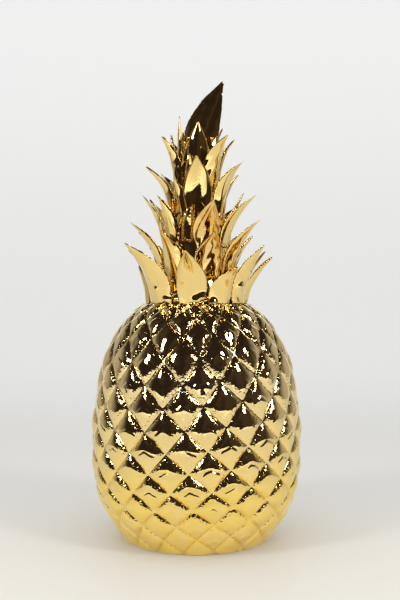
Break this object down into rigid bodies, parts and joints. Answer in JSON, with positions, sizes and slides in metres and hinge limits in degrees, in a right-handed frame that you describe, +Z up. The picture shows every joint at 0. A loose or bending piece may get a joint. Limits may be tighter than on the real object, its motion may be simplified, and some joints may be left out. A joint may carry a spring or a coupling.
{
  "type": "ceramic pineapple figurine",
  "caption": "Hollow glazed ceramic pineapple with spiral rows of swollen diamond scales, a flat foot, a crown of pointed curling leaves and a bent spear at the top.",
  "frame": {"origin": "centre of the foot's underside, on the stem's axis", "axes": "+Z up the stem, -Y towards the pictured front, +X to the viewer's right"},
  "size_m": [0.1473, 0.1472, 0.32],
  "materials": {
    "gold_lustre": "mirror-bright gold lustre over a smooth glaze",
    "stopper": "soft matte"
  },
  "bodies": {
    "figurine": {"body_shell": "gold_lustre", "crown_stem": "gold_lustre", "leaf_tier1_01": "gold_lustre", "leaf_tier1_02": "gold_lustre", "leaf_tier1_03": "gold_lustre", "leaf_tier1_04": "gold_lustre", "leaf_tier1_05": "gold_lustre", "leaf_tier1_06": "gold_lustre", "leaf_tier1_07": "gold_lustre", "leaf_tier1_08": "gold_lustre", "leaf_tier1_09": "gold_lustre", "leaf_tier1_10": "gold_lustre", "leaf_tier1_11": "gold_lustre", "leaf_tier2_01": "gold_lustre", "leaf_tier2_02": "gold_lustre", "leaf_tier2_03": "gold_lustre", "leaf_tier2_04": "gold_lustre", "leaf_tier2_05": "gold_lustre", "leaf_tier2_06": "gold_lustre", "leaf_tier2_07": "gold_lustre", "leaf_tier2_08": "gold_lustre", "leaf_tier2_09": "gold_lustre", "leaf_tier3_01": "gold_lustre", "leaf_tier3_02": "gold_lustre", "leaf_tier3_03": "gold_lustre", "leaf_tier3_04": "gold_lustre", "leaf_tier3_05": "gold_lustre", "leaf_tier3_06": "gold_lustre", "leaf_tier3_07": "gold_lustre", "leaf_tier3_08": "gold_lustre", "leaf_tier3_09": "gold_lustre", "leaf_tier3_10": "gold_lustre", "leaf_tier4_01": "gold_lustre", "leaf_tier4_02": "gold_lustre", "leaf_tier4_03": "gold_lustre", "leaf_tier4_04": "gold_lustre", "leaf_tier4_05": "gold_lustre", "leaf_tier4_06": "gold_lustre", "leaf_tier4_07": "gold_lustre", "leaf_tier4_08": "gold_lustre", "leaf_tier5_01": "gold_lustre", "leaf_tier5_02": "gold_lustre", "leaf_tier5_03": "gold_lustre", "leaf_tier5_04": "gold_lustre", "leaf_tier5_05": "gold_lustre", "leaf_tier5_06": "gold_lustre", "leaf_tier5_07": "gold_lustre", "leaf_tier5_08": "gold_lustre", "leaf_tier6_01": "gold_lustre", "leaf_tier6_02": "gold_lustre", "leaf_tier6_03": "gold_lustre", "leaf_tier6_04": "gold_lustre", "spear_leaf": "gold_lustre"},
    "stopper": {"base_stopper": "stopper"}
  },
  "joints": [
    {"name": "stopper_pull", "type": "slide", "parent": "figurine", "child": "stopper", "axis": [0, 0, -1], "range_m": [0, 0.03]}
  ]
}
